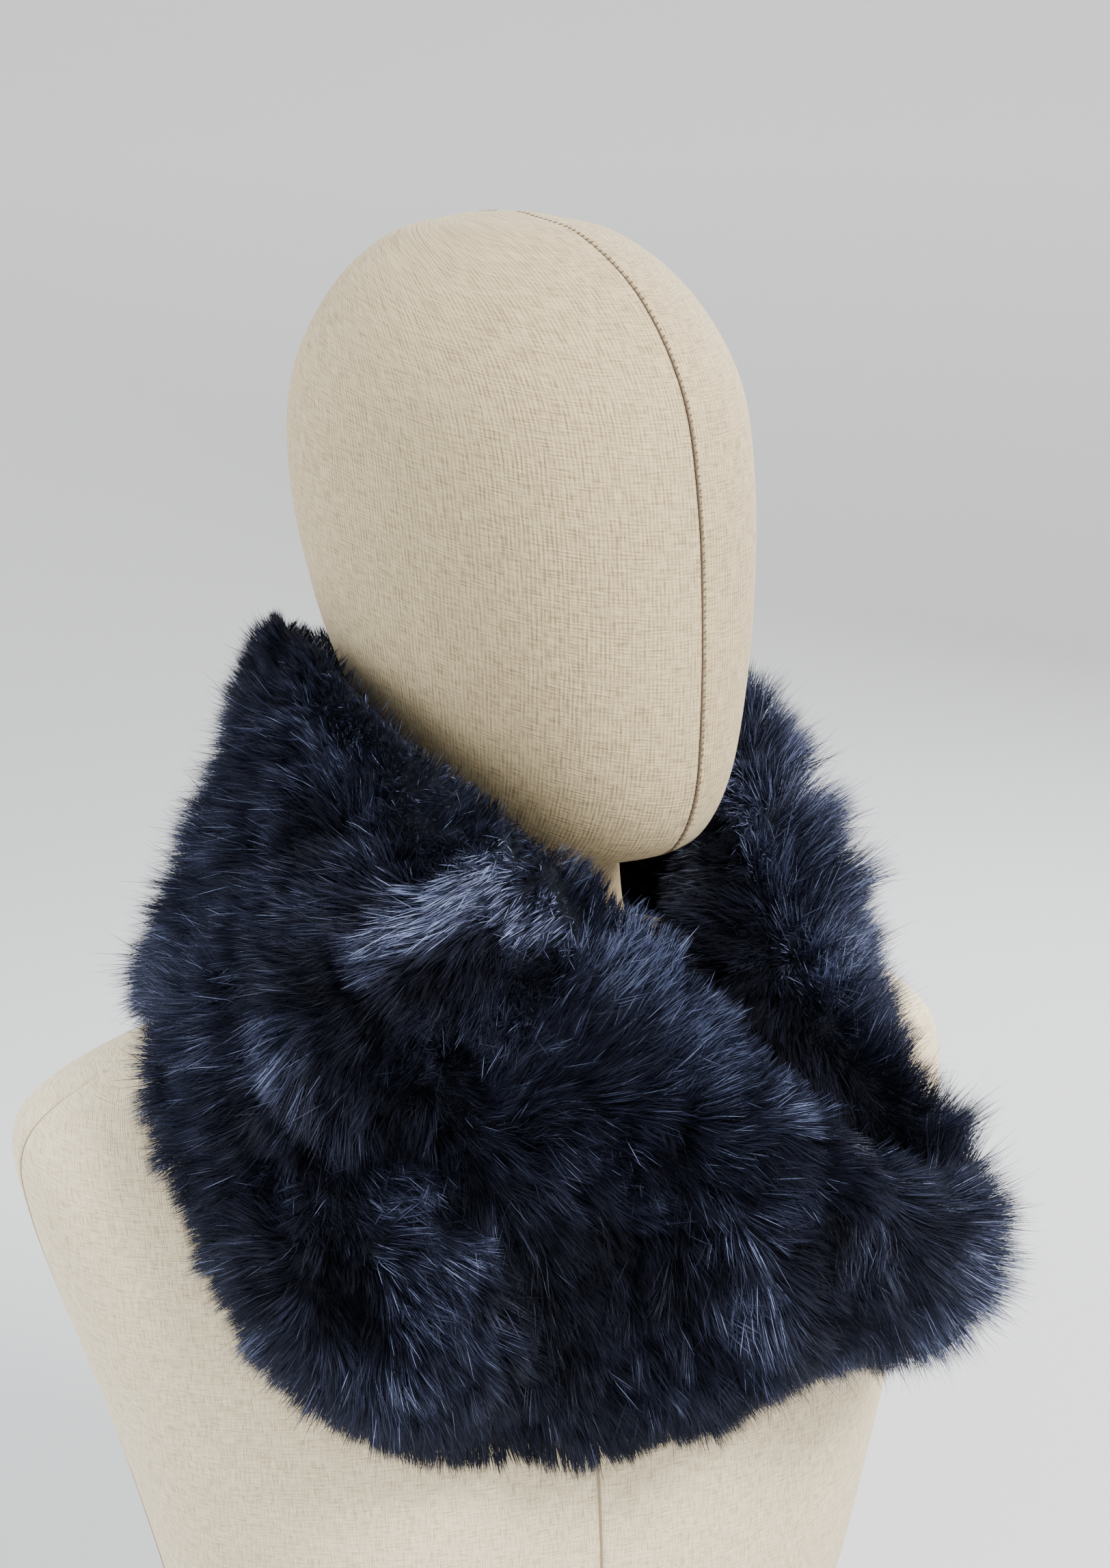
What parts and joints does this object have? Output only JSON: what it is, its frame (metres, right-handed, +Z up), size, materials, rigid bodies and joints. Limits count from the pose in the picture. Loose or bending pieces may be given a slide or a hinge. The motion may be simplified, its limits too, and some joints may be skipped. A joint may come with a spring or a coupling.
{
  "type": "faux fur neck gaiter on a dress form",
  "caption": "Wide loop of thick faux fur, high at the nape and pulled forward into a free corner, on a smooth linen-covered dress form with a head.",
  "frame": {"origin": "on the floor, at the middle of the form's base, under the middle of its shoulders", "axes": "+Z up, -Y towards the form's front, +X towards the form's left shoulder"},
  "size_m": [0.401, 0.3046, 0.7],
  "materials": {
    "outer_fur": "long combed pile with a soft sheen",
    "inner_fur": "long pressed pile",
    "linen": "matt slubby linen"
  },
  "bodies": {
    "root": {"fur_outer_panel": "outer_fur", "fur_inner_panel": "inner_fur", "form_torso": "linen", "form_head": "linen"}
  },
  "joints": []
}
